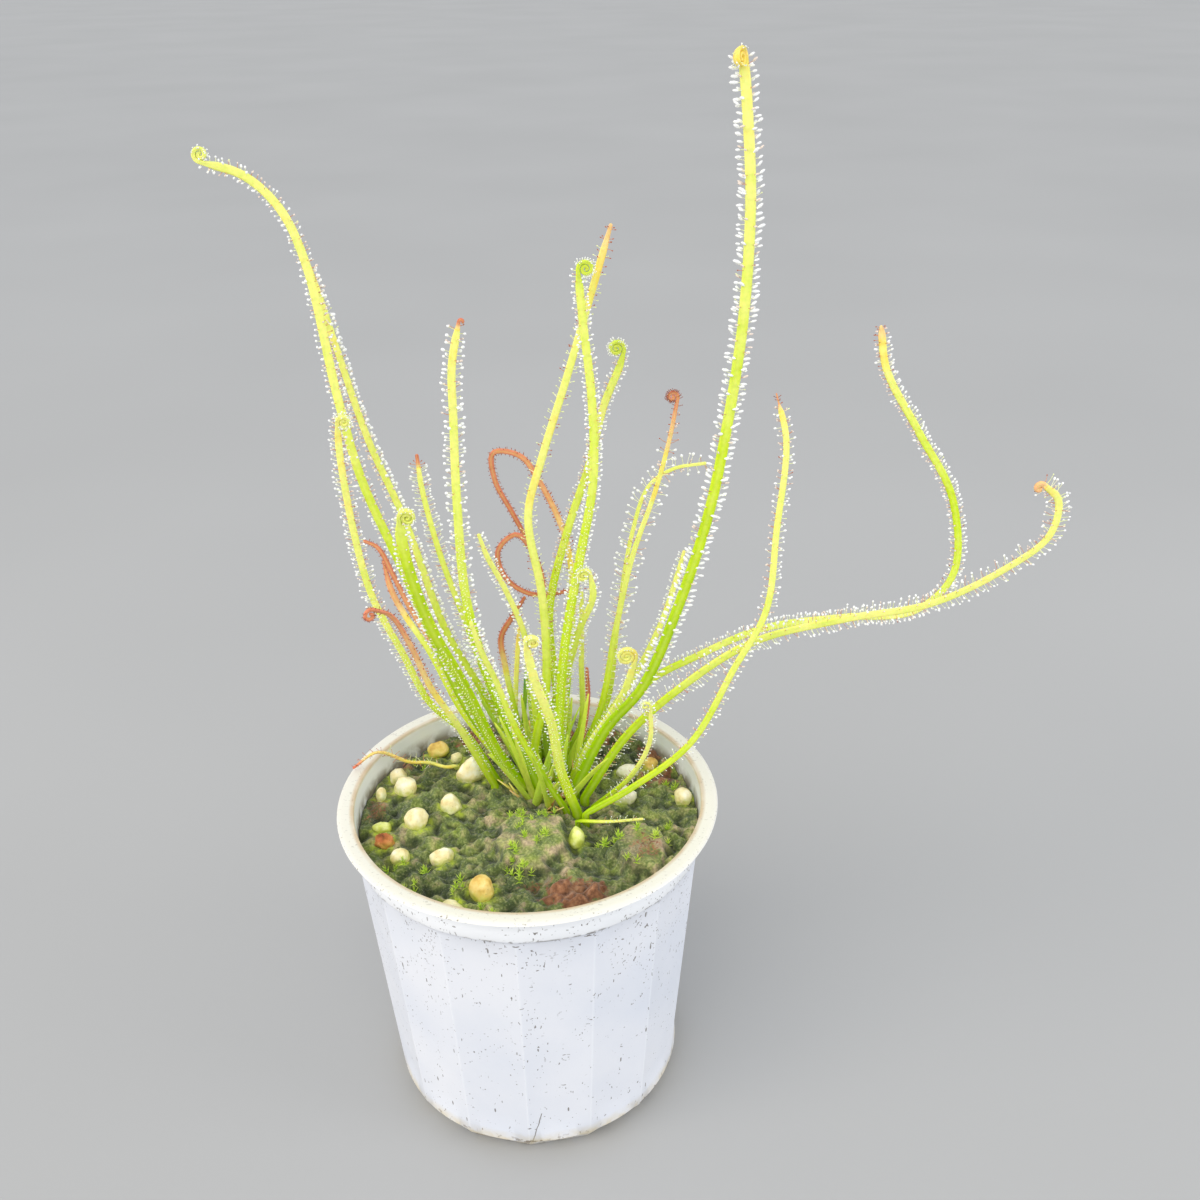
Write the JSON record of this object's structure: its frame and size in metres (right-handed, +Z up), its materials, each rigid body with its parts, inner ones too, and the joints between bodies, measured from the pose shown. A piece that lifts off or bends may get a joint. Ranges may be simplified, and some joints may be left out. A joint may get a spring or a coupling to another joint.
{
  "type": "sundew plant in a nursery pot",
  "caption": "Sundew with long upright thread-like leaves, rolled tips and sticky tentacles, in mossy soil with pebbles in a white plastic nursery pot.",
  "frame": {"origin": "centre of the pot's flat underside", "axes": "+Z up out of the pot along its axis, -Y towards the side the plant is seen from, +X towards the side where the two long arching leaves reach out"},
  "size_m": [0.1765, 0.09, 0.2456],
  "materials": {
    "pot_plastic": "semi-matt moulded plastic, weathered, with fine dark specks",
    "soil_moss": "moist peat under moss and algae, rough",
    "pebble_pale": "smooth matt pebble",
    "pebble_amber": "smooth matt pebble",
    "pebble_mossy": "pebble with a film of algae",
    "pebble_speckled": "rough pale stone with dark grains",
    "peat": "coarse fibrous peat",
    "leaf_green": "soft waxy leaf, slightly translucent",
    "leaf_yellow_green": "soft waxy leaf, slightly translucent",
    "leaf_fading": "fading leaf, green to tan and red-brown",
    "leaf_dead": "dry dead leaf, matt"
  },
  "bodies": {
    "root": {"pot": "pot_plastic", "soil": "soil_moss", "pebble_orange": "pebble_amber", "pebble_cream_back_left": "pebble_pale", "pebble_white_large": "pebble_pale", "pebble_cream_left_back": "pebble_pale", "pebble_cream_left_long": "pebble_pale", "pebble_cream_left_edge": "pebble_pale", "pebble_cream_middle_left": "pebble_pale", "pebble_cream_left_front": "pebble_pale", "pebble_green_dark": "pebble_mossy", "lump_red_peat": "peat", "pebble_cream_front_left": "pebble_pale", "pebble_cream_front": "pebble_pale", "pebble_yellow_front": "pebble_amber", "pebble_cream_rim": "pebble_pale", "pebble_mossy": "pebble_mossy", "pebble_cream_right_edge": "pebble_pale", "pebble_white_speckled": "pebble_speckled", "pebble_speckled_back": "pebble_speckled", "pebble_tan_right": "pebble_amber", "pebble_tan_back": "pebble_amber", "leaf_left_longest": "leaf_yellow_green", "leaf_left_second": "leaf_yellow_green", "leaf_left_hooked": "leaf_green", "leaf_left_wide_coil": "leaf_green", "leaf_left_brown_tip": "leaf_yellow_green", "leaf_left_upright": "leaf_green", "leaf_left_red_hook": "leaf_fading", "leaf_left_dead_thread": "leaf_dead", "leaf_left_yellow": "leaf_fading", "leaf_left_over_rim": "leaf_dead", "leaf_front_bent_left": "leaf_green", "leaf_middle_crossing": "leaf_green", "leaf_middle_tall_coil": "leaf_yellow_green", "leaf_middle_round_coil": "leaf_yellow_green", "leaf_middle_orange_loop": "leaf_fading", "leaf_middle_brown_curl": "leaf_dead", "leaf_middle_left_lean": "leaf_green", "leaf_middle_brown_top": "leaf_fading", "leaf_front_coil": "leaf_green", "leaf_middle_small_coil": "leaf_yellow_green", "leaf_back_straight": "leaf_green", "leaf_back_left_short": "leaf_yellow_green", "leaf_back_blue_green": "leaf_green", "leaf_middle_short": "leaf_green", "leaf_back_dead_scrap": "leaf_dead", "leaf_right_red_coil": "leaf_yellow_green", "leaf_right_level_tip": "leaf_green", "leaf_right_low_coil": "leaf_green", "leaf_right_tallest": "leaf_yellow_green", "leaf_right_plain": "leaf_green", "leaf_right_curved": "leaf_yellow_green", "leaf_right_far_hook": "leaf_yellow_green", "leaf_right_arching": "leaf_yellow_green", "leaf_right_tiny_coil": "leaf_green", "leaf_front_low": "leaf_yellow_green"}
  },
  "joints": []
}
